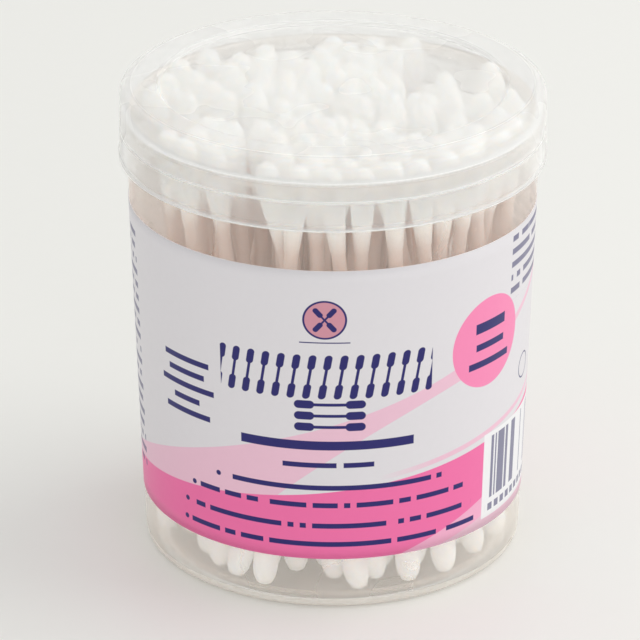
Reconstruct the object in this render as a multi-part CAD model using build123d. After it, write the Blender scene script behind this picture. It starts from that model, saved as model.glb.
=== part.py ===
"""A round tub of cotton swabs with a push-on lid and a wrap label. Millimetres, +Z up, table at z = 0."""

from build123d import *
import math
import os
import numpy as np

# Swabs
swab_length = 76.0
tip_radius = 2.2
tip_length = 15.0
tip_end_radius = 1.3
tip_belly = 4.5
stick_radius = 1.15
facets = 6
packing = 0.515

# Tub
base_radius = 31.4
draft_angle = 1.85
wall = 0.8
floor_thickness = 0.9
foot_height = 0.7
foot_width = 1.6
heel_radius = 2.2
inner_heel = 1.1
swabs_above_mouth = 1.9

# Neck and rolled mouth rim, both under the lid
neck_height = 5.4
neck_step = 0.3
rim_height = 1.9
rim_roll = 0.5
rim_edge = 0.3

# Lid
lid_wall = 0.75
lid_top = 0.9
lid_depth = 12.1
lid_draft = 0.25
lid_round = 1.9
lip_height = 1.0
lip_out = 0.15
panel_sink = 0.7
ring_width = 4.2
panel_slope = 0.5
snap_bead_height = 1.0
seat_width = 0.95

# Label
label_thickness = 0.12
label_from_table = 9.4
label_to_lid = 7.1
label_lap = 7.0

# Clearances
swab_gap = 0.14
swab_to_floor = 0.12
swab_to_panel = 0.8
lid_to_rim = 0.3
lid_to_bead = 0.15
seat_gap = 0.12
label_gap = 0.02

# How the swabs stand: both ends scatter, and the tops, turned a little, leave two spots free near the wall
top_scatter = 7.0
bottom_scatter = 3.5
top_turn_angle = -7
free_spot_radius = 7.0
free_spot_angle = 47
free_spot_from_wall = 6.2
left_spot_radius = 8.0
left_spot_angle = 190
left_spot_from_wall = 2.0
swab_nodes = 50
turn_step_angle = 37
relax_steps = 600
close_enough = 0.04
seed = 4

# Heights that follow from the sizes above
draft = math.tan(math.radians(draft_angle))
floor_top = foot_height + floor_thickness
swab_bottom = floor_top + swab_to_floor
swab_top = swab_bottom + swab_length
mouth_height = swab_top - swabs_above_mouth
panel_bottom = swab_top + swab_to_panel
total_height = panel_bottom + lid_top + panel_sink
lid_bottom = total_height - lid_depth
neck_bottom = mouth_height - neck_height
rim_bottom = mouth_height - rim_height
seat_bottom = mouth_height + seat_gap


def wall_radius(height):
    """Outer radius of the drafted tub wall at a height above the table."""
    return base_radius + height * draft


# Radii that follow
neck_radius = wall_radius(neck_bottom) - neck_step
rim_radius = neck_radius + rim_roll
mouth_radius = neck_radius - wall
skirt_inner = rim_radius + lid_to_rim
skirt_outer = skirt_inner + lid_wall
shoulder_radius = skirt_outer - lid_draft
seat_inner = skirt_inner - seat_width - lid_draft
ring_outer = shoulder_radius - lid_round
ring_inner = ring_outer - ring_width
panel_radius = ring_inner - panel_slope


def section(points):
    """A closed outline in the XZ plane from (radius, height) points."""
    return make_face(Polyline(*[(r, 0, z) for r, z in points], close=True))


def corner(face, r, z):
    """The outline's corner nearest to (radius, height)."""
    return face.vertices().sort_by_distance(Vector(r, 0, z))[0]


def make_tub():
    """One moulded cup: foot ring, rounded heel, drafted wall, stepped neck and a rolled mouth rim."""
    foot_inner = base_radius - heel_radius - foot_width
    inner_base = wall_radius(floor_top) - wall
    outline = section([
        (0, foot_height),
        (foot_inner - foot_height, foot_height),
        (foot_inner, 0),
        (base_radius, 0),
        (wall_radius(neck_bottom), neck_bottom),
        (neck_radius, neck_bottom + neck_step),
        (neck_radius, rim_bottom),
        (rim_radius, rim_bottom + rim_roll),
        (rim_radius, mouth_height),
        (mouth_radius, mouth_height),
        (mouth_radius, neck_bottom),
        (inner_base, floor_top),
        (0, floor_top),
    ])
    outline = fillet(corner(outline, base_radius, 0), heel_radius)
    outline = chamfer(corner(outline, inner_base, floor_top), inner_heel)
    outline = chamfer(corner(outline, rim_radius, mouth_height), rim_edge)
    return revolve(outline, Axis.Z)


def make_lid():
    """One moulded cap: sunk panel, raised round-edged ring, skirt with a lip, seat ledge and snap bead."""
    bead_inner = rim_radius + lid_to_bead
    bead_top = rim_bottom - lid_to_bead
    ring_bottom = total_height - lid_top
    shoulder_inner = shoulder_radius - lid_wall
    outline = section([
        (0, total_height - panel_sink),
        (panel_radius, total_height - panel_sink),
        (ring_inner, total_height),
        (shoulder_radius, total_height),
        (skirt_outer - lip_out, lid_bottom + lip_height + lip_out),
        (skirt_outer, lid_bottom + lip_height),
        (skirt_outer, lid_bottom),
        (skirt_inner, lid_bottom),
        (skirt_inner, bead_top - snap_bead_height),
        (bead_inner, bead_top - snap_bead_height / 2),
        (skirt_inner, bead_top),
        (skirt_inner, seat_bottom),
        (seat_inner, seat_bottom),
        (shoulder_inner, seat_bottom + 2 * seat_width),
        (shoulder_inner, ring_bottom),
        (ring_inner - lid_top / 2, ring_bottom),
        (panel_radius - lid_top / 2, panel_bottom),
        (0, panel_bottom),
    ])
    outline = fillet(corner(outline, shoulder_radius, total_height), lid_round)
    return revolve(outline, Axis.Z)


def make_label():
    """One sleeve round the wall, twice as thick where its glued ends lap at the back."""
    top = lid_bottom - label_to_lid

    def sleeve(inner_offset):
        low = wall_radius(label_from_table) + inner_offset
        high = wall_radius(top) + inner_offset
        return section([
            (low, label_from_table),
            (low + label_thickness, label_from_table),
            (high + label_thickness, top),
            (high, top),
        ])

    lap_angle = math.degrees(label_lap / wall_radius(top))
    lap = revolve(sleeve(label_gap + label_thickness), Axis.Z, lap_angle)
    return revolve(sleeve(label_gap), Axis.Z) + Rot(0, 0, 90 - lap_angle / 2) * lap


def swab_profile():
    """(height, radius) of each ring of facets of one swab, from the bottom bud's end to the top bud's."""
    bud = [(0, tip_end_radius), (tip_belly, tip_radius), (tip_length, stick_radius)]
    return bud + [(swab_length - z, r) for z, r in reversed(bud)]


def make_swab():
    """A stick with a wound cotton bud on each end, faceted, standing on the origin."""
    rings = [
        [
            (r * math.cos(math.tau * k / facets), r * math.sin(math.tau * k / facets), z)
            for k in range(facets)
        ]
        for z, r in swab_profile()
    ]
    sides = [
        Face(Wire.make_polygon([low[k - 1], low[k], high[k], high[k - 1]]))
        for low, high in zip(rings, rings[1:])
        for k in range(facets)
    ]
    ends = [Face(Wire.make_polygon(ring)) for ring in (rings[0], rings[-1])]
    return Solid(Shell(sides + ends))


def room_radius(t):
    """Radius that a swab needs at a share t of its length: its bud's near both ends, its stick's between."""
    from_end = swab_length * np.minimum(t, 1 - t)
    return np.interp(from_end, [0, 2 * tip_belly, tip_length], [tip_radius, tip_radius, stick_radius])


def nearest_share(bottom, top):
    """The share of its length at which each swab's axis comes nearest to each other swab's."""
    start = bottom[:, None] - bottom
    change = top[:, None] - top - start
    return np.clip(-(start * change).sum(2) / np.maximum((change**2).sum(2), 1e-9), 0, 1)


def part_pairs(bottom, top, t):
    """Pushes swabs apart at a share t of their length, and says how short the worst gap was."""
    at = bottom[:, None] * (1 - t) + top[:, None] * t - bottom * (1 - t) - top * t
    distance = np.linalg.norm(at, axis=2, keepdims=True) + 1e-6
    short = np.clip(2 * room_radius(t) + swab_gap - distance, 0, None)
    short[np.diag_indices(len(short))] = 0
    push = at / distance * short / 2 / ((1 - t) ** 2 + t**2)
    return bottom + (push * (1 - t)).sum(1), top + (push * t).sum(1), short.max()


def spot(angle, from_wall):
    """Middle of a spot at an angle round the mouth and a distance in from its wall."""
    aim = math.radians(angle)
    return (mouth_radius - from_wall) * np.array([math.cos(aim), math.sin(aim)])


def hold_inside(bottom, top, t, spots):
    """Pushes swabs off the wall, and above half height out of the free spots, at a share t of their length."""
    at = bottom * (1 - t) + top * t
    reach = np.linalg.norm(at, axis=1, keepdims=True)
    wall_at = min(wall_radius(swab_bottom + swab_length * t) - wall, mouth_radius)
    short = np.clip(reach - (wall_at - room_radius(t) - swab_gap), 0, None)
    push = -at / np.maximum(reach, 1e-6) * short
    for middle, radius in spots:
        away = at - middle
        far = np.linalg.norm(away, axis=1, keepdims=True)
        push += away / far * np.clip(t * radius + room_radius(t) - far, 0, None) * (t > 0.5)
    push /= (1 - t) ** 2 + t**2
    return bottom + push * (1 - t), top + push * t, short.max()


def stand_swabs():
    """Bottom and top (x, y) of each swab's axis, as many as fill the floor, pushed about until all are clear."""
    room = wall_radius(swab_bottom) - wall
    count = round(packing * (room / tip_radius) ** 2)
    k = np.arange(count)
    angle = k * math.pi * (3 - math.sqrt(5))
    radius = (room - tip_radius) * np.sqrt((k + 0.5) / count)
    spiral = np.stack([radius * np.cos(angle), radius * np.sin(angle)], 1)
    chance = np.random.default_rng(seed)
    bottom = spiral + chance.normal(0, bottom_scatter, spiral.shape)
    turn = math.radians(top_turn_angle)
    turned = spiral @ np.array([[math.cos(turn), math.sin(turn)], [-math.sin(turn), math.cos(turn)]])
    top = turned * (mouth_radius / room) + chance.normal(0, top_scatter, spiral.shape)
    spots = [
        (spot(free_spot_angle, free_spot_from_wall), free_spot_radius),
        (spot(left_spot_angle, left_spot_from_wall), left_spot_radius),
    ]

    bud_shares = [z / swab_length for z in (0, tip_belly, 2 * tip_belly)]
    shares = bud_shares + [0.6, 0.75] + [1 - t for t in bud_shares]
    for _ in range(relax_steps):
        bottom, top, worst = part_pairs(bottom, top, nearest_share(bottom, top)[..., None])
        for t in shares:
            bottom, top, short = part_pairs(bottom, top, np.full((1, 1, 1), t))
            bottom, top, over = hold_inside(bottom, top, t, spots)
            worst = max(worst, short, over)
        if worst < close_enough:
            break
    return bottom, top


def place_swab(swab, low, high, turn):
    """A copy of the swab leaning from low to high, turned about its axis, its bud just clear of the floor."""
    lean = Vector(high[0] - low[0], high[1] - low[1], 0)
    rise = math.sqrt(swab_length**2 - lean.length**2)
    axis = Vector(lean.X, lean.Y, rise)
    lift = tip_end_radius * lean.length / swab_length
    foot = Vector(low[0], low[1], swab_bottom + lift)
    return Plane(origin=foot, z_dir=axis).location * Rot(0, 0, turn) * swab


def make_swabs():
    """All swabs in neighbouring groups, one group for each node."""
    swab = make_swab()
    bottom, top = stand_swabs()
    bands = np.floor(np.linalg.norm(bottom, axis=1) / (2.5 * tip_radius))
    order = np.lexsort((np.arctan2(bottom[:, 1], bottom[:, 0]), bands))
    groups = np.array_split(order, swab_nodes)
    return [
        Compound([place_swab(swab, bottom[i], top[i], turn_step_angle * i) for i in group])
        for group in groups
    ]


os.makedirs("parts", exist_ok=True)
export_step(make_tub(), "parts/tub.step")
export_step(make_lid(), "parts/lid.step")
export_step(make_label(), "parts/label.step")
for number, group in enumerate(make_swabs(), 1):
    export_step(group, f"parts/swabs_{number:02d}.step")
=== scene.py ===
"""Finishes the tub of cotton swabs: clear tub and lid, printed wrap label, wound swabs, and a stage."""
import math

import bpy
import numpy as np
from bpy.props import FloatProperty, FloatVectorProperty, IntProperty, PointerProperty
from bpy.types import Operator, Panel, PropertyGroup
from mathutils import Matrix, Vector


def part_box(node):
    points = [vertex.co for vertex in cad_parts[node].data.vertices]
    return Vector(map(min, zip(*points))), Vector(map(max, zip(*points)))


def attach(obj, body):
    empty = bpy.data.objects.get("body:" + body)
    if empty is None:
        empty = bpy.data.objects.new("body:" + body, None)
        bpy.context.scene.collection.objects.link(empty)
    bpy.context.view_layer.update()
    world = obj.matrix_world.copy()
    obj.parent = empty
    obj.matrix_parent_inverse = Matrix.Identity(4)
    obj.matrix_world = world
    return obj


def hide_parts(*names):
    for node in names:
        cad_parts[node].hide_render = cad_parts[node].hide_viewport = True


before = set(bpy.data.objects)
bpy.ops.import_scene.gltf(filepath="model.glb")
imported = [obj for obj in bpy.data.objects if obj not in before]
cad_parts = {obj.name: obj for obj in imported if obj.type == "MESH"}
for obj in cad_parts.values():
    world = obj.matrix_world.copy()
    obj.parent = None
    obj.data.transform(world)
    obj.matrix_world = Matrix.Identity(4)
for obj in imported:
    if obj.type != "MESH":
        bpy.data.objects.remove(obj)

bl_info = {
    "name": "Tub of Cotton Swabs",
    "version": (1, 0, 0),
    "blender": (4, 5, 0),
    "location": "3D View > Sidebar > Swab Tub",
    "description": "Builds the clear tub, lid, label and swabs round the packed frame",
    "category": "Object",
}

MM = 0.001
TURN = 2 * math.pi
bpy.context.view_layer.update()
swab_nodes = sorted(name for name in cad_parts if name.startswith("swabs_"))


def length(name, millimetres, description):
    """A length property, given in millimetres and kept in metres."""
    return FloatProperty(
        name=name, description=description, default=millimetres * MM, min=0.0, precision=5, subtype="DISTANCE"
    )


def share(name, value, description):
    """A property between 0 and 1."""
    return FloatProperty(
        name=name, description=description, default=value, min=0.0, max=1.0, subtype="FACTOR"
    )


def colour(name, red, green, blue, description):
    """A colour property, given as screen values from 0 to 255 and kept as linear light."""
    screen = np.array([red, green, blue]) / 255
    light = np.where(screen <= 0.04045, screen / 12.92, ((screen + 0.055) / 1.055) ** 2.4)
    return FloatVectorProperty(
        name=name, description=description, default=light.tolist(), min=0.0, max=1.0, subtype="COLOR"
    )


def position(name, metres, description):
    """A property for a point, in metres."""
    return FloatVectorProperty(
        name=name, description=description, default=metres, unit="LENGTH", subtype="XYZ"
    )


class TubSettings(PropertyGroup):
    """Sizes and finish of the tub, which the lid and the label follow."""

    base_radius: length("Base radius", 31.4, "Outer radius of the wall where it would meet the table")
    draft: FloatProperty(
        name="Draft", description="Lean of the wall outwards", default=math.radians(1.85), subtype="ANGLE"
    )
    wall: length("Wall", 0.8, "Thickness of the tub's wall")
    floor: length("Floor", 0.9, "Thickness of the tub's floor")
    foot_height: length("Foot height", 0.7, "Height of the foot ring under the floor")
    foot_width: length("Foot width", 1.6, "Width of the foot ring's flat")
    heel: length("Heel", 2.2, "Outer radius of the rounded heel")
    neck_height: length("Neck height", 5.4, "Height of the stepped neck under the lid")
    neck_step: length("Neck step", 0.3, "Step from the wall to the neck")
    rim_height: length("Rim height", 1.9, "Height of the rolled mouth rim")
    rim_roll: length("Rim roll", 0.5, "How far the mouth rim stands out")
    tint: colour("Tint", 238, 232, 225, "Colour of the tub's plastic")
    density: share("Density", 0.12, "How much the plastic hides, seen head on")
    edge_density: share("Edge density", 0.5, "How much the plastic hides, seen along the wall")
    haze: length("Haze", 0.35, "How far light scatters within the plastic")
    # Painted light: the tub's plastic glows by emission in its own tone, which brightens the tub where the
    # renderer's bounces leave it dark.
    glow: share("Glow", 0.10, "Light carried within the plastic, beyond what the renderer's bounces bring")


class LidSettings(PropertyGroup):
    """Sizes and finish of the lid."""

    wall: length("Wall", 0.75, "Thickness of the skirt")
    top: length("Top", 0.9, "Thickness of the panel")
    skirt_draft: length("Skirt draft", 0.25, "How much narrower the skirt is at its top")
    round: length("Round", 1.9, "Radius of the rounded top edge")
    lip_height: length("Lip height", 1.0, "Height of the lip round the bottom")
    lip_out: length("Lip", 0.15, "How far the lip stands out")
    panel_sink: length("Panel sink", 0.7, "Depth of the panel below the ring")
    ring_width: length("Ring width", 4.2, "Width of the raised ring's flat")
    panel_slope: length("Panel slope", 0.5, "Width of the slope between ring and panel")
    bead_height: length("Bead height", 1.0, "Height of the bead that grips the tub's rim")
    seat_width: length("Seat width", 0.95, "Width of the ledge that rests on the mouth")
    rim_gap: length("Rim gap", 0.3, "Gap between skirt and mouth rim")
    bead_gap: length("Bead gap", 0.15, "Gap between bead and mouth rim")
    seat_gap: length("Seat gap", 0.12, "Gap between seat and mouth")
    tint: colour("Tint", 247, 247, 247, "Colour of the lid's plastic")
    density: share("Density", 0.16, "How much the plastic hides, seen head on")
    edge_density: share("Edge density", 0.56, "How much the plastic hides, seen along the wall")
    haze: length("Haze", 0.35, "How far light scatters within the plastic")
    # Painted light: the lid's plastic glows faintly by emission in its own tone.
    glow: share("Glow", 0.025, "Light carried within the plastic, beyond what the renderer's bounces bring")


class SwabSettings(PropertyGroup):
    """Sizes and finish of the swabs, which stand where the frame's swabs stand."""

    bud_radius: length("Bud radius", 2.17, "Largest radius of a bud")
    bud_length: length("Bud length", 15.0, "Length of a bud along the stick")
    bud_nose: length("Bud nose", 4.4, "Length of the bud's rounded end")
    bud_shoulder: length("Bud shoulder", 0.4, "Length of the step from bud to stick")
    bud_fade: length("Bud fade", 5.0, "Length over which the cotton thins out towards the stick")
    stick_radius: length("Stick radius", 1.13, "Radius of the stick")
    unevenness: length("Unevenness", 0.05, "How far the winding swells in and out")
    sides: IntProperty(name="Sides", description="Faces round a swab", default=12, min=6, max=32)
    bud_rings: IntProperty(
        name="Bud rings", description="Rings of faces along a bud", default=9, min=4, max=24
    )
    cotton: colour("Cotton", 252, 251, 248, "Colour of the wound cotton")
    stick: colour("Stick", 243, 226, 218, "Colour of the stick")
    # Painted light: the swabs glow by emission to brighten the packed swabs, and the sticks glow less, as
    # painted shade.
    glow: share("Glow", 0.12, "Light from between the swabs, beyond what the renderer's bounces bring")
    stick_glow: share("Stick glow", 0.15, "Share of that glow on the sticks, which stand in the shade")


class LabelSettings(PropertyGroup):
    """Sizes and colours of the wrap label."""

    thickness: length("Thickness", 0.12, "Thickness of the film")
    gap: length("Gap", 0.02, "Gap between film and wall")
    lap: length("Lap", 7.0, "Length of the glued lap at the back")
    film: colour("Film", 228, 225, 230, "Unprinted film")
    pale: colour("Pale", 240, 196, 216, "Pale pink of the sweep")
    middle: colour("Middle", 246, 176, 208, "Lighter pink at the lower right")
    hot: colour("Hot", 245, 112, 172, "Hot pink of the band")
    spot: colour("Spot", 250, 138, 186, "Pink of the round spot")
    panel: colour("Panel", 243, 243, 246, "Blank panel behind the stripes")
    emblem: colour("Emblem", 212, 147, 164, "Dull pink of the emblem")
    ink: colour("Ink", 14, 6, 104, "Navy ink")
    small_ink: share("Small ink", 0.75, "How much the small print covers")
    # Painted light: the film's inner side glows by emission, in place of light coming through the film.
    painted_inner_glow: share("Passing light", 0.30, "Light that comes through the film to its inner side")
    inner_light: colour("Inner light", 255, 240, 230, "Colour of that light")


class StageSettings(PropertyGroup):
    """Lights, floor and camera."""

    floor_radius: FloatProperty(
        name="Floor radius", description="Radius of the floor", default=4.0, subtype="DISTANCE"
    )
    floor: colour("Floor", 240, 240, 238, "Colour of the floor")
    room: colour("Room", 255, 255, 252, "Colour of the light from all round")
    room_strength: FloatProperty(name="Room strength", description="Strength of that light", default=0.79)
    lamp_size: length("Lamp size", 900.0, "Side of each square lamp")
    lamp_aim: position("Lamp aim", (0.0, 0.0, 0.04), "Point that the lamps are turned to")
    key_place: position("Key place", (0.75, 0.10, 0.75), "Where the key lamp hangs")
    key_power: FloatProperty(name="Key", description="Power of the key lamp", default=3.75, unit="POWER")
    fill_place: position("Fill place", (0.55, -1.2, 0.35), "Where the lamp in front stands")
    fill_power: FloatProperty(name="Fill", description="Power of the front lamp", default=1.8, unit="POWER")
    lens: FloatProperty(name="Lens", description="Focal length in millimetres", default=241.9)
    pitch: FloatProperty(
        name="Pitch", description="How far the view looks down", default=math.radians(24.11), subtype="ANGLE"
    )
    distance: length("Distance", 714.3, "From the camera to the point that it looks at")
    aim_side: FloatProperty(name="Aim side", description="The view's shift sideways", default=-2.09 * MM)
    aim_height: length("Aim height", 38.1, "Height of the point that it looks at")
    aim_up: FloatProperty(name="Aim up", description="The view's shift upwards", default=-0.45 * MM)


SETTINGS = {
    "swab_tub": TubSettings,
    "swab_lid": LidSettings,
    "swab_sticks": SwabSettings,
    "swab_label": LabelSettings,
    "swab_stage": StageSettings,
}


# Meshes

def lattice(rows, columns, join_rows=False):
    """Corner numbers of the quads on a grid of points that is closed round its columns."""
    point = np.arange(rows * columns).reshape(rows, columns)
    beside = np.roll(point, -1, axis=1)
    above, above_beside = np.roll(point, -1, axis=0), np.roll(beside, -1, axis=0)
    quads = np.stack([point, beside, above_beside, above], -1)
    return (quads if join_rows else quads[:-1]).reshape(-1, 4)


def ring_mesh(name, points):
    """A mesh from rows by columns by 3 points, closed both ways, as on a tube bent into a ring."""
    rows, columns = points.shape[:2]
    mesh = bpy.data.meshes.new(name)
    mesh.from_pydata(points.reshape(-1, 3).tolist(), [], lattice(rows, columns, join_rows=True).tolist())
    mesh.shade_smooth()
    return mesh


def with_poles(values):
    """Values of count surfaces by rows by columns, in the order of closed_mesh's points."""
    count, rows, columns = values.shape[:3]
    ends = values[:, :1, 0], values[:, -1:, 0]
    return np.concatenate([ends[0], values[:, 1:-1].reshape(count, -1, *values.shape[3:]), ends[1]], 1)


def closed_mesh(name, points):
    """A mesh of closed surfaces from count by rows by columns by 3 points.

    Each surface is closed round its columns, and its first and last rows, all at one place, are its poles.
    """
    count, rows, columns = points.shape[:3]
    place = with_poles(points)
    quads = lattice(rows - 2, columns) + 1
    first = np.arange(columns) + 1
    beside = np.roll(first, -1)
    last = place.shape[1] - 1
    to_last = last - 1 - columns
    low = np.stack([beside, first, np.zeros_like(first)], -1)
    high = np.stack([first + to_last, beside + to_last, np.full_like(first, last)], -1)
    shift = np.arange(count)[:, None, None] * (last + 1)
    faces = [(part + shift).reshape(-1, part.shape[1]).tolist() for part in (quads, low, high)]
    mesh = bpy.data.meshes.new(name)
    mesh.from_pydata(place.reshape(-1, 3).tolist(), [], sum(faces, []))
    mesh.shade_smooth()
    return mesh


def rounded(corners, steps=6):
    """Radii and heights along an outline whose corners, given as (radius, height, rounding), are arcs.

    An arc from a to b about corner c is ((1-t)^2 a + 2 w t (1-t) c + t^2 b) / ((1-t)^2 + 2 w t (1-t) + t^2),
    where w is the cosine of half its turn. Beside each arc stands one more point, which keeps the shading of
    the long sides flat.
    """
    corner = np.array(corners, float)
    place, radius = corner[:, :2], corner[:, 2]
    side = np.diff(place, axis=0)
    span = np.linalg.norm(side, axis=1)
    along = side / span[:, None]
    before, after = np.vstack([along[:1], along]), np.vstack([along, along[-1:]])
    bend = (before * after).sum(1)
    room = 0.45 * np.minimum(np.append(span, span[-1]), np.append(span[0], span))
    cut = np.minimum(radius * np.sqrt((1 - bend) / (1 + bend)), room)[:, None]
    guard = np.minimum(cut + 0.25 * MM, np.maximum(room[:, None], cut))
    start, end = (place - before * cut)[:, None], (place + after * cut)[:, None]
    t = np.linspace(0, 1, steps)[None, :, None]
    weight = 2 * np.sqrt((1 + bend) / 2)[:, None, None] * t * (1 - t)
    arc = (start * (1 - t) ** 2 + place[:, None] * weight + end * t**2) / ((1 - t) ** 2 + weight + t**2)
    full = np.concatenate([(place - before * guard)[:, None], arc, (place + after * guard)[:, None]], 1)
    line = np.vstack([place[:1], full[1:-1].reshape(-1, 2), place[-1:]])
    apart = np.linalg.norm(np.diff(line, axis=0), axis=1) > 1e-6
    return line[np.append(True, apart)].T


def turned(name, corners, sides=192):
    """A surface of revolution about Z: each outline point (r, z) goes round as (r cos a, r sin a, z)."""
    radius, height = rounded(corners)
    angle = np.arange(sides) * TURN / sides
    x, y = radius[:, None] * np.cos(angle), radius[:, None] * np.sin(angle)
    return closed_mesh(name, np.stack([x, y, height[:, None] + 0 * x], -1)[None])


def show(mesh, material, body, nodes):
    """Puts a mesh in the scene as a piece that rides on a body and stands for CAD nodes."""
    mesh.materials.append(material)
    piece = bpy.data.objects.new(mesh.name, mesh)
    bpy.context.scene.collection.objects.link(piece)
    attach(piece, body)
    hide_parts(*nodes)
    return piece


# Shader maths

class Num:
    """A number that varies over a surface. Python's operators on it add Math nodes."""

    def __init__(self, finish, socket):
        self.finish, self.socket = finish, socket

    def __add__(self, other):
        return self.finish.maths("ADD", self, other)

    def __sub__(self, other):
        return self.finish.maths("SUBTRACT", self, other)

    def __rsub__(self, other):
        return self.finish.maths("SUBTRACT", other, self)

    def __mul__(self, other):
        return self.finish.maths("MULTIPLY", self, other)

    def __truediv__(self, other):
        return self.finish.maths("DIVIDE", self, other)

    def __pow__(self, other):
        return self.finish.maths("POWER", self, other)

    def __abs__(self):
        return self.finish.maths("ABSOLUTE", self)

    def __neg__(self):
        return self * -1.0

    __radd__ = __add__
    __rmul__ = __mul__


class Finish:
    """One material's nodes."""

    def __init__(self, name):
        self.material = bpy.data.materials.new(name)
        self.material.use_nodes = True
        self.tree = self.material.node_tree
        self.tree.nodes.clear()

    def node(self, kind, settings=None, sockets=None):
        """Adds a node of a type, makes its settings, then gives its sockets values or links."""
        made = self.tree.nodes.new("ShaderNode" + kind)
        for key, value in (settings or {}).items():
            setattr(made, key, value)
        for key, value in (sockets or {}).items():
            value = value.socket if isinstance(value, Num) else value
            if isinstance(value, bpy.types.NodeSocket):
                self.tree.links.new(value, made.inputs[key])
            else:
                made.inputs[key].default_value = value
        return made.outputs

    def maths(self, operation, first, second=0.0, clamp=False):
        settings = {"operation": operation, "use_clamp": clamp}
        return Num(self, self.node("Math", settings, {0: first, 1: second})[0])

    def least(self, *numbers):
        """The smallest of the numbers."""
        result = numbers[0]
        for number in numbers[1:]:
            result = self.maths("MINIMUM", result, number)
        return result

    def most(self, *numbers):
        """The largest of the numbers."""
        result = numbers[0]
        for number in numbers[1:]:
            result = self.maths("MAXIMUM", result, number)
        return result

    def step(self, number, soft):
        """0 below zero and 1 above, with a slope as wide as soft between."""
        return self.maths("ADD", number / soft, 0.5, clamp=True)

    def root(self, number):
        return self.maths("SQRT", number)

    def floor(self, number):
        """The whole number at or below a number."""
        return self.maths("FLOOR", number)

    def part(self, number):
        """What a number has above its whole number."""
        return self.maths("FRACT", number)

    def chance(self, number):
        """A number between 0 and 1 that looks random, the same each time for the same number."""
        return Num(self, self.node("TexWhiteNoise", {"noise_dimensions": "1D"}, {"W": number})["Value"])

    def fact(self, name):
        """An attribute of the mesh."""
        return Num(self, self.node("Attribute", {"attribute_name": name})["Fac"])

    def mix(self, factor, low, high, blend="MIX"):
        """A colour between two colours, each a socket or red, green and blue."""
        low, high = (c if isinstance(c, bpy.types.NodeSocket) else (*c, 1.0) for c in (low, high))
        return self.node("Mix", {"data_type": "RGBA", "blend_type": blend}, {0: factor, 6: low, 7: high})[2]

    def place(self):
        """The object's own coordinates: x, y and z as numbers, and the vector."""
        vector = self.node("TexCoord")["Object"]
        x, y, z = (Num(self, s) for s in self.node("SeparateXYZ", None, {0: vector}))
        return x, y, z, vector

    def noise(self, vector, scale, detail=3.0, roughness=0.5):
        """Smooth noise between 0 and 1, with scale features to a metre."""
        sockets = {"Vector": vector, "Scale": scale, "Detail": detail, "Roughness": roughness}
        return Num(self, self.node("TexNoise", None, sockets)["Fac"])

    def stretched(self, vector, x, y, z):
        """The vector with each part multiplied, for grain that runs one way."""
        return self.node("VectorMath", {"operation": "MULTIPLY"}, {0: vector, 1: (x, y, z)})[0]

    def bump(self, height, distance, strength=1.0):
        """The surface's direction as a height between 0 and 1, over a distance, would turn it."""
        sockets = {"Height": height, "Distance": distance, "Strength": strength}
        return self.node("Bump", None, sockets)["Normal"]

    def done(self, **sockets):
        """Ends in one Principled shader, whose faint glow isn't sampled as a lamp; returns the material."""
        self.material.cycles.emission_sampling = "NONE"
        named = {key.replace("_", " "): value for key, value in sockets.items()}
        shader = self.node("BsdfPrincipled", None, named)["BSDF"]
        self.node("OutputMaterial", None, {"Surface": shader})
        return self.material


def darker(tint, by):
    """Red, green and blue, each multiplied."""
    return [part * by for part in tint]


# Clear plastic

def plastic(name, settings, grain, thick_rings):
    """Frosted clear polypropylene, see-through head on and milky along a wall or in a thick ring, with a
    faint painted glow.

    Each thick ring is (radius, height, half width, half height, milkiness), and fades over a short way.
    Elsewhere the density is clear + (edge - clear) f^2.5, where f grows from 0 head on to 1 at the outline.
    """
    finish = Finish(name)
    fade = 0.25 * MM
    x, y, z, vector = finish.place()
    out = finish.root(x**2.0 + y**2.0)
    facing = Num(finish, finish.node("LayerWeight", None, {"Blend": 0.5})["Facing"])
    cloud = finish.noise(vector, 55.0, 2.0)
    streak = finish.noise(finish.stretched(vector, 1.0, 1.0, 0.12), grain, 1.0)
    milky = []
    for radius, height, half_width, half_height, milkiness in thick_rings:
        across = finish.step(half_width - abs(out - radius), fade)
        upwards = finish.step(half_height - abs(z - height), fade)
        milky.append(finish.least(across, upwards) * milkiness)
    clear, edge = settings.density, settings.edge_density
    density = clear + (edge - clear) * facing**2.5 + (cloud - 0.5) * 0.06
    density = finish.most(density, *milky)
    tone = finish.mix(cloud, darker(settings.tint, 0.97), settings.tint)
    return finish.done(
        Base_Color=tone,
        Roughness=0.20 + cloud * 0.14,
        IOR=1.49,
        Subsurface_Weight=1.0,
        Subsurface_Radius=(1.0, 1.0, 1.0),
        Subsurface_Scale=settings.haze,
        # Painted light: a faint emission in the plastic's own tone, as strong as the glow setting.
        Emission_Color=tone,
        Emission_Strength=settings.glow,
        Alpha=density,
        Normal=finish.bump(streak, 0.02 * MM, 0.5),
    )


# Label print

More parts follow.
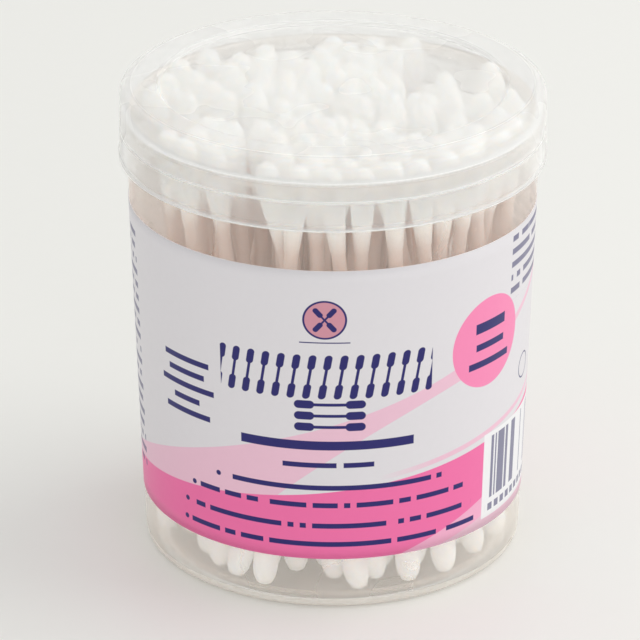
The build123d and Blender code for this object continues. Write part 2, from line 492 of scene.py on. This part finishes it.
class Print:
    """Shapes printed on the label, in millimetres: along runs right from the front, up runs from the table.

    A shape is 1 where it is printed and 0 elsewhere, with a soft edge between.
    """

    def __init__(self, finish, radius):
        self.finish, self.edge = finish, 0.10
        self.degree = math.radians(1) * radius / MM
        x, y, z, self.vector = finish.place()
        angle = finish.maths("ARCTAN2", x, -y)
        self.turn = angle / (math.pi / 2)
        self.along = angle * (radius / MM)
        self.up = z / MM

    def over(self, line):
        """All that lies above a line."""
        return self.finish.step(self.up - line, self.edge)

    def rising(self, start, rise):
        """A line at a height at the front, which rises by so much in a quarter turn to the right."""
        return self.turn * rise + start

    def stroke(self, line, half):
        """A band along a line."""
        return self.finish.step(half - abs(self.up - line), self.edge)

    def block(self, left, right, low, high):
        """A rectangle."""
        inward = self.along - left, right - self.along, self.up - low, high - self.up
        return self.finish.least(*(self.finish.step(way, self.edge) for way in inward))

    def bar(self, across, height, half, tall):
        """A rectangle about a point, from its half width and half height."""
        return self.block(across - half, across + half, height - tall, height + tall)

    def disc(self, across, height, radius):
        """A round spot."""
        away = self.finish.root((self.along - across) ** 2.0 + (self.up - height) ** 2.0)
        return self.finish.step(radius - away, self.edge)

    def ring(self, across, height, outer, inner):
        """A round line."""
        return self.disc(across, height, outer) - self.disc(across, height, inner)

    def swab(self, across, height, lean, half, bud, stick):
        """A pictured swab, from the distances to a leaning line and to a stretch of it near each end."""
        f = self.finish
        c, s = math.cos(lean), math.sin(lean)
        stretch = bud * 1.2
        dx, dy = across, self.up - height
        beside = abs(dx * c - dy * s)
        length = abs(dx * s + dy * c)
        past = f.most(abs(length - (half - bud - stretch)) - stretch, 0.0)
        buds = f.step(bud - f.root(beside**2.0 + past**2.0), self.edge)
        rod = f.least(f.step(stick - beside, self.edge), f.step(half - bud - length, self.edge))
        return f.most(buds, rod)

    def line(self, left, right, low, seed, tall=0.9, letter=1.0, gaps=0.17):
        """Bars in place of a line of words: cells as wide as a letter, some of them left out as gaps."""
        f = self.finish
        cell = f.floor((self.along - left) / letter)
        right = left + letter * round((right - left) / letter)
        return self.block(left, right, low, low + tall) * f.maths("GREATER_THAN", f.chance(cell + seed), gaps)


def pink_shapes(ink):
    """The sweep with its tails, the band, and two wedges on it to the right.

    A line's height is a + b t, with t the quarter turns to the right. The sweep's lower line has - c t^2 too.
    """
    f = ink.finish
    above_band = ink.over(ink.rising(21.7, 6.4))
    below_top = 1 - ink.over(ink.rising(33.7, 17.0))
    above_low = ink.over(ink.rising(27.9, 36.0) - ink.turn**2.0 * 27.0)
    sweep = above_band * below_top * above_low * f.step(0.5 - ink.turn, 0.01)
    tail = ink.stroke(ink.rising(28.5, 22.5), 0.6) * f.step(ink.turn - 0.45, 0.01)
    thin_tail = ink.stroke(ink.rising(22.7, 7.3), 0.45) * f.step(ink.turn - 0.25, 0.2)
    tails = f.most(tail, thin_tail) * f.step(1.15 - ink.turn, 0.2)
    to_right = (1 - above_band) * f.step(ink.turn, 0.01)
    wedge = to_right * (1 - ink.over(ink.rising(5.5, 17.4)))
    pale_wedge = to_right * (1 - ink.over(ink.rising(4.9, 12.3)))
    return f.most(sweep, tails), 1 - above_band, wedge, pale_wedge


def striped_panel(ink):
    """A blank panel, and on it stripes whose widths look random over a row of short marks."""
    f = ink.finish
    left, right, marks_right = 49.7 * ink.degree, 104 * ink.degree, 101 * ink.degree
    stripe_width, mark_pitch = 0.42, 1.9
    panel = ink.block(left, right, 10.9, 26.4)
    stripe = f.chance(f.floor(ink.along / stripe_width) + 0.7)
    stripes = ink.block(left + 2.0, marks_right, 14.2, 25.6) * f.step(stripe - 0.5, 0.01)
    mark = f.part(ink.along / mark_pitch)
    marks = ink.block(left + 1.0, marks_right, 11.9, 13.2) * f.step(mark - 0.35, 0.05)
    return panel, f.most(stripes, marks)


def small_print(ink):
    """Two blocks of small print at the sides: rows of bars with gaps that look random."""
    f, degree = ink.finish, ink.degree
    row_pitch, letter, row_step = 2.3, 1.3, 17.0
    blocks = f.most(
        ink.block(-100 * degree, -74 * degree, 13.8, 57.5), ink.block(60 * degree, 118 * degree, 48.3, 59.8)
    )
    row = f.step(f.part(ink.up / row_pitch) - 0.55, 0.08)
    cell = f.floor(ink.along / letter) + f.floor(ink.up / row_pitch) * row_step
    return blocks * row * f.step(f.chance(cell) - 0.16, 0.01)


def pictured_swabs(ink, emblem):
    """A row of leaning swabs, two crossed ones in a ring over a rule, and three that lie below the row."""
    f = ink.finish
    pitch, lean, middle = 2.45, 0.16, 42.3
    within = (f.part((ink.along - (ink.up - middle) * lean) / pitch) - 0.5) * pitch
    row = ink.block(-7.5 * pitch, 6.5 * pitch, 37.0, 47.6) * ink.swab(within, middle, 0.0, 3.9, 0.6, 0.24)
    across, height = emblem
    ring = ink.ring(across, height, 3.4, 3.08)
    crossed = [ink.swab(ink.along - across, height, turn, 2.6, 0.44, 0.16) for turn in (-0.7, 0.7)]
    rule = ink.bar(across, 48.4, 3.9, 0.1)
    lying = [ink.swab(ink.along + 0.5, low, math.pi / 2, 5.6, 0.72, 0.27) for low in (33.4, 35.4, 37.4)]
    return f.most(row, ring, *crossed, rule, *lying)


def word_bars(ink, spot):
    """Bars in the places of words: a bold line, a slim one, a list, a note, and three on the spot."""
    degree = ink.degree
    bold = ink.block(-27 * degree, 23.5 * degree, 29.25, 30.85)
    slim = [ink.block(left * degree, right * degree, 26.05, 26.95) for left, right in ((-14.5, 1), (3, 11.8))]
    listed = [
        ink.line(left * degree, right * degree, low, seed)
        for left, right, low, seed in (
            (-32, 32.3, 21.95, 20.5),
            (-42, 41.5, 18.75, 131.5),
            (-44, 45.0, 15.0, 242.5),
            (-46, 46.0, 11.65, 357.5),
        )
    ]
    points = [
        ink.disc(angle * degree, height, 0.45)
        for angle, height in ((-35, 22.4), (-44.4, 19.2), (-47.7, 15.5), (-48.3, 12.1))
    ]
    note_top, note_pitch, note_tall = 40.9, 2.35, 0.5
    note = [
        ink.bar(-46.5 * degree, note_top - row * note_pitch, half, note_tall)
        for row, half in enumerate((5.0, 4.0, 5.9, 2.9, 5.0))
    ]
    on_spot = [
        ink.bar(spot[0] + 0.8 * degree, spot[1] + above, half, tall)
        for above, half, tall in ((2.9, 3.6, 0.9), (-0.5, 3.4, 0.6), (-3.6, 4.9, 0.6))
    ]
    symbol = ink.ring(73 * degree, 34.0, 2.3, 2.05)
    return ink.finish.most(bold, *slim, *listed, *points, *note, *on_spot, symbol)


def label_material(tub, settings, radius):
    """Satin film under layers of print, whose inner side has painted light: an emission that stands in for
    the light that the film would let through.
    """
    finish = Finish("printed_film")
    ink = Print(finish, radius)
    spot, emblem = (49.8 * ink.degree, 43.5), (-1.3, 52.4)
    sweep, band, wedge, pale_wedge = pink_shapes(ink)
    panel, stripes = striped_panel(ink)
    printed = finish.most(pictured_swabs(ink, emblem), word_bars(ink, spot))
    layers = (
        (sweep, settings.pale),
        (band, settings.hot),
        (wedge, settings.middle),
        (pale_wedge, settings.pale),
        (ink.disc(*spot, 7.9), settings.spot),
        (panel, settings.panel),
        (finish.most(small_print(ink), stripes) * settings.small_ink, settings.ink),
        (ink.disc(*emblem, 3.2), settings.emblem),
        (printed, settings.ink),
    )
    tone = settings.film
    for cover, tint in layers:
        tone = finish.mix(cover, tone, tint)
    grain = finish.noise(ink.vector, 900.0, 2.0)
    tone = finish.mix(grain * 0.06, tone, (0.6, 0.6, 0.6), "MULTIPLY")

    x, y, z, _ = finish.place()
    middle = wall_radius(tub, z) + settings.gap + settings.thickness / 2
    inner_side = finish.step(middle - finish.root(x**2.0 + y**2.0), settings.thickness / 2)
    ripple = finish.noise(finish.stretched(ink.vector, 1.0, 1.0, 0.35), 60.0, 2.0)
    return finish.done(
        Base_Color=tone,
        Roughness=0.34 + grain * 0.10 - printed * 0.06,
        IOR=1.5,
        # Painted light: only the film's inner side glows, in the inner light's colour.
        Emission_Color=finish.mix(inner_side, (0.0, 0.0, 0.0), settings.inner_light),
        Emission_Strength=settings.painted_inner_glow,
        Normal=finish.bump(ripple * 4.0 + grain * 0.05, 0.04 * MM, 0.6),
    )


# Swabs

def swab_material(settings):
    """Wound cotton with fine fibres on the buds and pressed paper on the stick, and a painted glow, full on
    the buds and dimmed on the sticks as painted shade.
    """
    finish = Finish("wound_cotton")
    winding_pitch = 1.5 * MM
    *_, vector = finish.place()
    bud, along, chance = (finish.fact(name) for name in ("bud", "along", "chance"))
    side = finish.node("Attribute", {"attribute_name": "side"})["Vector"]
    side_x, side_y, _ = (Num(finish, s) for s in finish.node("SeparateXYZ", None, {0: side}))
    turn = along * (TURN / winding_pitch)
    winding = finish.maths("SINE", turn) * side_x + finish.maths("COSINE", turn) * side_y
    fibres = finish.noise(finish.stretched(vector, 1.0, 1.0, 0.35), 5200.0, 2.0, 0.65)
    tufts = finish.noise(vector, 700.0, 1.0)
    cotton = finish.mix(tufts * 0.5 + fibres * 0.3, darker(settings.cotton, 0.93), settings.cotton)
    stick = finish.mix(chance, darker(settings.stick, 0.94), settings.stick)
    height = bud * (winding * 0.25 + fibres + tufts * 1.2) + (1 - bud) * fibres * 0.12
    tone = finish.mix(bud, stick, cotton)
    return finish.done(
        Base_Color=tone,
        # Painted light: emission in the cotton's colour on the buds, and in a dimmed stick colour on the
        # sticks as painted shade.
        Emission_Color=finish.mix(bud, darker(settings.stick, settings.stick_glow), settings.cotton),
        Emission_Strength=settings.glow,
        Roughness=0.62 + bud * 0.33,
        Subsurface_Weight=1.0,
        Subsurface_Radius=(1.0, 0.9, 0.8),
        Subsurface_Scale=0.8 * MM,
        Normal=finish.bump(height, 0.09 * MM, 0.8),
    )


def loose_parts(mesh):
    """The points of each separate solid in a mesh: joined points come to share their lowest number."""
    place = np.empty(len(mesh.vertices) * 3, np.float32)
    mesh.vertices.foreach_get("co", place)
    place, twin = np.unique(place.reshape(-1, 3).round(7), axis=0, return_inverse=True)
    mesh.calc_loop_triangles()
    corners = np.empty(len(mesh.loop_triangles) * 3, np.int32)
    mesh.loop_triangles.foreach_get("vertices", corners)
    faces = twin.ravel()[corners].reshape(-1, 3)
    number = np.arange(len(place))
    while True:
        lowest = number[faces].min(1)
        joined = number.copy()
        np.minimum.at(joined, faces.ravel(), np.repeat(lowest, 3))
        if (joined == number).all():
            return [place[number == n] for n in np.unique(number)]
        number = joined


def swab_ends(points):
    """Both end centres of one faceted swab: its points furthest along its longest direction, averaged."""
    middle = points.mean(0)
    direction = np.linalg.svd(points - middle)[2][0]
    direction = direction * np.sign(direction[2])
    along = (points - middle) @ direction
    return points[along < along.min() + 0.2 * MM].mean(0), points[along > along.max() - 0.2 * MM].mean(0)


def bud_outline(settings):
    """Distances from the end and radii of one bud: a rounded nose, then a taper that eases into the stick.

    The nose is r = R (1 - (1 - s/a)^2.3)^(1/2.3) with s the distance and a the nose's length. Along the
    taper, from R to the stick's radius, the share gone is g (2 - g) / 2 + f^2 / 2, with f from 0 to 1 and
    g = f^1.35.
    """
    nose, full, reach = settings.bud_nose, settings.bud_radius, settings.bud_length
    t = np.linspace(0, 1, settings.bud_rings)
    s = reach * t**1.5
    rounding = (1 - np.clip(1 - s / nose, 0, 1) ** 2.3) ** (1 / 2.3)
    fade = np.clip((s - nose) / (reach - nose), 0, 1)
    eased = fade**1.35
    taper = eased * (2 - eased) * 0.5 + fade**2 * 0.5
    radius = np.where(s < nose, full * rounding, full + (settings.stick_radius * 1.12 - full) * taper)
    return s, radius


def wind_swabs(name, nodes, settings):
    """One mesh of all the swabs, each on the axis of its CAD solid, with what the finish reads as attributes.

    A point is e + s d + r (u cos a + v sin a), where e is the lower end's centre, d the direction, and u and
    v stand square to it. The radius r follows the bud's outline and swells by a sum of two sines.
    """
    ends = np.array([swab_ends(part) for node in nodes for part in loose_parts(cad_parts[node].data)])
    low, run = ends[:, 0], ends[:, 1] - ends[:, 0]
    reach = np.linalg.norm(run, axis=1).mean()
    d = run / np.linalg.norm(run, axis=1, keepdims=True)
    u = np.cross(d, [0.0, 1.0, 0.0])
    u /= np.linalg.norm(u, axis=1, keepdims=True)
    v = np.cross(d, u)

    s, r = bud_outline(settings)
    stick = s[-1] + settings.bud_shoulder
    s = np.concatenate([s, [stick, reach - stick], reach - s[::-1]])
    r = np.concatenate([r, [settings.stick_radius] * 2, r[::-1]])
    number = np.arange(len(ends))[:, None, None]
    a = (np.arange(settings.sides) * TURN / settings.sides)[None, None] + number
    s, r = s[None, :, None], r[None, :, None]
    from_end = np.minimum(s, reach - s)
    bud = np.clip((stick - from_end) / settings.bud_fade, 0, 1)
    swell = np.sin(900 * s + 2 * a + 2.4 * number) + np.sin(1700 * s - a + number) - 2
    r = r + settings.unevenness / 2 * swell * bud * np.clip(from_end / settings.bud_nose, 0, 1)
    u, v, d, low = (vector[:, None, None] for vector in (u, v, d, low))
    across = np.cos(a)[..., None] * u + np.sin(a)[..., None] * v
    points = low + s[..., None] * d + r[..., None] * across

    mesh = closed_mesh(name, points)
    whole = np.zeros(points.shape[:3])
    facts = {"along": s + whole, "bud": bud + whole, "chance": number * 0.618 % 1 + whole}
    facts["side"] = np.stack([np.cos(a) + whole, np.sin(a) + whole, whole], -1)
    for fact, values in facts.items():
        kind, field = ("FLOAT_VECTOR", "vector") if fact == "side" else ("FLOAT", "value")
        mesh.attributes.new(fact, kind, "POINT").data.foreach_set(field, with_poles(values).ravel())
    return mesh


# Pieces

def wall_radius(tub, height):
    """Outer radius of the drafted wall at a height."""
    return tub.base_radius + height * math.tan(tub.draft)


def mouth_sizes(tub):
    """Heights and radii of the neck and the mouth rim, from the frame's height of the mouth."""
    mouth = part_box("tub")[1].z
    neck_bottom = mouth - tub.neck_height
    neck_radius = wall_radius(tub, neck_bottom) - tub.neck_step
    return mouth, neck_bottom, neck_radius, neck_radius + tub.rim_roll


def tub_corners(tub):
    """Outline of the tub from under its floor, up the outside, over the mouth and down the inside."""
    mouth, neck_bottom, neck_radius, rim_radius = mouth_sizes(tub)
    rim_bottom = mouth - tub.rim_height
    floor_top = tub.foot_height + tub.floor
    foot_inner = tub.base_radius - tub.heel - tub.foot_width
    bore = neck_radius - tub.wall
    small = 0.12 * MM
    return [
        (0, tub.foot_height, 0),
        (foot_inner - tub.foot_height, tub.foot_height, 3 * small),
        (foot_inner, 0, 2 * small),
        (tub.base_radius, 0, tub.heel),
        (wall_radius(tub, neck_bottom), neck_bottom, 2 * small),
        (neck_radius, neck_bottom + tub.neck_step, small),
        (neck_radius, rim_bottom, small),
        (rim_radius, rim_bottom + tub.rim_roll, 2 * small),
        (rim_radius, mouth, 3 * small),
        (bore, mouth, 2 * small),
        (bore, neck_bottom, 20 * small),
        (wall_radius(tub, floor_top) - tub.wall, floor_top, tub.heel - tub.wall),
        (0, floor_top, 0),
    ]


def lid_corners(tub, lid):
    """Outline of the lid from under its panel, down the inside, round the lip, up the skirt and over."""
    mouth, _, _, rim_radius = mouth_sizes(tub)
    bottom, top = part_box("lid")[0].z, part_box("lid")[1].z
    inner = rim_radius + lid.rim_gap
    outer = inner + lid.wall
    shoulder = outer - lid.skirt_draft
    ring_inner = shoulder - lid.round - lid.ring_width
    panel = ring_inner - lid.panel_slope
    seat = mouth + lid.seat_gap
    bead_top = mouth - tub.rim_height - lid.bead_gap
    small = 0.12 * MM
    return [
        (0, top - lid.panel_sink - lid.top, 0),
        (panel - lid.top / 2, top - lid.panel_sink - lid.top, 3 * small),
        (ring_inner - lid.top / 2, top - lid.top, 3 * small),
        (shoulder - lid.wall, top - lid.top, 10 * small),
        (shoulder - lid.wall, seat + 2 * lid.seat_width, 3 * small),
        (inner - lid.seat_width - lid.skirt_draft, seat, small),
        (inner, seat, small),
        (inner, bead_top, small),
        (rim_radius + lid.bead_gap, bead_top - lid.bead_height / 2, small),
        (inner, bead_top - lid.bead_height, small),
        (inner, bottom, 2 * small),
        (outer, bottom, 2 * small),
        (outer, bottom + lid.lip_height, small),
        (outer - lid.lip_out, bottom + lid.lip_height + lid.lip_out, small),
        (shoulder, top, lid.round),
        (ring_inner, top, 4 * small),
        (panel, top - lid.panel_sink, 4 * small),
        (0, top - lid.panel_sink, 0),
    ]


def label_points(tub, label, columns=320, rows=24):
    """Rows round the label's section, inner side up and outer side down again, and columns round the tub.

    The outer radius is the wall's plus the gap and one thickness of film, or two where the ends lap.
    """
    low, high = (corner.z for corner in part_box("label"))
    turn = np.linspace(0, 1, columns, endpoint=False)
    angle = TURN * (turn + 0.06 * np.sin(2 * TURN * turn) / 2) + math.pi / 2
    across = np.abs((angle - math.pi / 2 + math.pi) % TURN - math.pi) * wall_radius(tub, high)
    lap = np.clip((label.lap / 2 - across) / label.thickness + 0.5, 0, 1)
    height = np.linspace(low, high, rows)[:, None]
    inner = wall_radius(tub, height) + label.gap + 0 * angle
    outer = inner + label.thickness * (1 + lap)
    radius = np.concatenate([outer, inner[::-1]])
    height = np.concatenate([height, height[::-1]]) + 0 * angle
    return np.stack([radius * np.cos(angle), radius * np.sin(angle), height], -1)


class SWABTUB_OT_tub(Operator):
    """Build the clear tub round the frame's tub"""

    bl_idname = "swab_tub.tub"
    bl_label = "Tub"

    def execute(self, context):
        tub = context.scene.swab_tub
        mouth, _, _, rim_radius = mouth_sizes(tub)
        mouth_edge = (rim_radius, mouth, tub.wall * 2, 0.3 * MM, 1.0)
        rolled_rim = (rim_radius, mouth - tub.rim_height / 2, tub.wall * 2, tub.rim_height / 2, 0.4)
        heel = (tub.base_radius, tub.foot_height, tub.heel * 1.5, tub.foot_height + tub.floor * 0.6, 0.5)
        finish = plastic("clear_tub", tub, 900.0, [mouth_edge, rolled_rim, heel])
        show(turned("clear_tub", tub_corners(tub)), finish, "tub", ["tub"])
        return {"FINISHED"}


class SWABTUB_OT_lid(Operator):
    """Build the frosted lid round the frame's lid"""

    bl_idname = "swab_tub.lid"
    bl_label = "Lid"

    def execute(self, context):
        tub, lid = context.scene.swab_tub, context.scene.swab_lid
        bottom, top = (corner.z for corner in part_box("lid"))
        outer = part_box("lid")[1].x
        ring_outer = outer - lid.skirt_draft - lid.round
        ring_inner = ring_outer - lid.ring_width
        seat = mouth_sizes(tub)[0] + lid.seat_gap
        bead_top = seat - lid.seat_gap - tub.rim_height - lid.bead_gap
        lip = (outer, bottom, lid.wall * 2, 0.3 * MM, 0.85)
        bead = (outer - lid.wall, bead_top - lid.bead_height * 5 / 6, lid.wall, 0.15 * MM, 0.9)
        slope = (ring_inner - lid.panel_slope / 2, top, lid.panel_slope * 0.6, lid.panel_sink * 1.5, 0.32)
        shoulder = (ring_outer, top, 0.2 * MM, 0.3 * MM, 0.4)
        ledge = (outer - lid.wall - lid.seat_width / 2, seat, lid.seat_width, 0.25 * MM, 1.0)
        finish = plastic("frosted_lid", lid, 700.0, [lip, bead, slope, shoulder, ledge])
        show(turned("frosted_lid", lid_corners(tub, lid)), finish, "lid", ["lid"])
        return {"FINISHED"}


class SWABTUB_OT_label(Operator):
    """Wrap the printed label round the tub"""

    bl_idname = "swab_tub.label"
    bl_label = "Label"

    def execute(self, context):
        tub, label = context.scene.swab_tub, context.scene.swab_label
        radius = wall_radius(tub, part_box("label")[0].z)
        mesh = ring_mesh("printed_label", label_points(tub, label))
        show(mesh, label_material(tub, label, radius), "tub", ["label"])
        return {"FINISHED"}


class SWABTUB_OT_swabs(Operator):
    """Wind the swabs on the frame's swabs"""

    bl_idname = "swab_tub.swabs"
    bl_label = "Swabs"

    def execute(self, context):
        settings = context.scene.swab_sticks
        mesh = wind_swabs("wound_swabs", swab_nodes, settings)
        show(mesh, swab_material(settings), "tub", swab_nodes)
        return {"FINISHED"}


# Stage

def add_to_scene(name, data):
    """Puts a lamp, a camera or a mesh in the scene as it is."""
    made = bpy.data.objects.new(name, data)
    bpy.context.scene.collection.objects.link(made)
    return made


def lamp(name, place, aim, size, power, tint):
    """A square soft lamp at a place, turned to a point, all in metres."""
    light = bpy.data.lights.new(name, "AREA")
    light.size, light.energy, light.color = size, power, tint
    made = add_to_scene(name, light)
    made.location = place
    made.rotation_euler = (Vector(aim) - Vector(place)).to_track_quat("-Z", "Y").to_euler()


def floor_mesh(radius, rows=24, columns=96):
    """A flat disc at the table's height: rings (r cos a, r sin a, 0) with r growing as a square."""
    r = radius * np.linspace(0, 1, rows)[:, None] ** 2
    a = np.arange(columns) * TURN / columns
    points = np.stack([r * np.cos(a), r * np.sin(a), 0 * r * a], -1)
    mesh = bpy.data.meshes.new("floor")
    mesh.from_pydata(points[1:].reshape(-1, 3).tolist(), [], [
        *lattice(rows - 1, columns).tolist(), list(range(columns))
    ])
    return mesh


def floor_material(settings):
    """Smooth pale board with a faint sheen."""
    finish = Finish("pale_board")
    *_, vector = finish.place()
    grain = finish.noise(vector, 260.0, 3.0)
    tone = finish.mix(grain * 0.25, settings.floor, darker(settings.floor, 0.97))
    return finish.done(Base_Color=tone, Roughness=0.42 + grain * 0.06, IOR=1.4)


def room_light(settings):
    """Even light from all round, which the camera sees as a pale wall."""
    world = bpy.data.worlds.new("room")
    world.use_nodes = True
    background = world.node_tree.nodes["Background"]
    background.inputs["Color"].default_value = (*settings.room, 1.0)
    background.inputs["Strength"].default_value = settings.room_strength
    bpy.context.scene.world = world


def stand_camera(settings):
    """The photo's view: a long lens that looks down on the tub from the front."""
    back = Vector((0, -math.cos(settings.pitch), math.sin(settings.pitch)))
    up = Vector((0, math.sin(settings.pitch), math.cos(settings.pitch)))
    aim = Vector((settings.aim_side, 0, settings.aim_height)) + up * settings.aim_up
    camera = add_to_scene("camera", bpy.data.cameras.new("camera"))
    camera.data.lens = settings.lens
    camera.data.clip_start = 0.01
    camera.location = aim + back * settings.distance
    camera.rotation_euler = (math.pi / 2 - settings.pitch, 0, 0)
    bpy.context.scene.camera = camera


class SWABTUB_OT_stage(Operator):
    """Lay the floor, light it and stand the camera"""

    bl_idname = "swab_tub.stage"
    bl_label = "Stage"

    def execute(self, context):
        settings = context.scene.swab_stage
        floor = add_to_scene("floor", floor_mesh(settings.floor_radius))
        floor.data.materials.append(floor_material(settings))
        aim, size = settings.lamp_aim, settings.lamp_size
        lamp("key_lamp", settings.key_place, aim, size, settings.key_power, (1.0, 0.985, 0.96))
        lamp("fill_lamp", settings.fill_place, aim, size, settings.fill_power, (1.0, 1.0, 1.0))
        room_light(settings)
        stand_camera(settings)
        context.scene.view_settings.view_transform = "Standard"
        return {"FINISHED"}


class SWABTUB_PT_panel(Panel):
    """Lists the pieces of the tub and their settings"""

    bl_idname = "SWABTUB_PT_panel"
    bl_label = "Tub of Cotton Swabs"
    bl_space_type = "VIEW_3D"
    bl_region_type = "UI"
    bl_category = "Swab Tub"

    def draw(self, context):
        for operator, settings in zip(BUILDERS, SETTINGS):
            box = self.layout.box()
            box.operator(operator.bl_idname)
            group = getattr(context.scene, settings)
            for name in group.bl_rna.properties.keys()[2:]:
                box.prop(group, name)


BUILDERS = (SWABTUB_OT_tub, SWABTUB_OT_lid, SWABTUB_OT_swabs, SWABTUB_OT_label, SWABTUB_OT_stage)


def register():
    for settings in SETTINGS.values():
        bpy.utils.register_class(settings)
    for kind in (*BUILDERS, SWABTUB_PT_panel):
        bpy.utils.register_class(kind)
    for name, settings in SETTINGS.items():
        setattr(bpy.types.Scene, name, PointerProperty(type=settings))


def unregister():
    for name in SETTINGS:
        delattr(bpy.types.Scene, name)
    for kind in (SWABTUB_PT_panel, *reversed(BUILDERS), *SETTINGS.values()):
        bpy.utils.unregister_class(kind)


def main():
    """Builds every piece and the stage."""
    register()
    bpy.ops.swab_tub.tub()
    bpy.ops.swab_tub.lid()
    bpy.ops.swab_tub.swabs()
    bpy.ops.swab_tub.label()
    bpy.ops.swab_tub.stage()


if __name__ == "__main__":
    main()
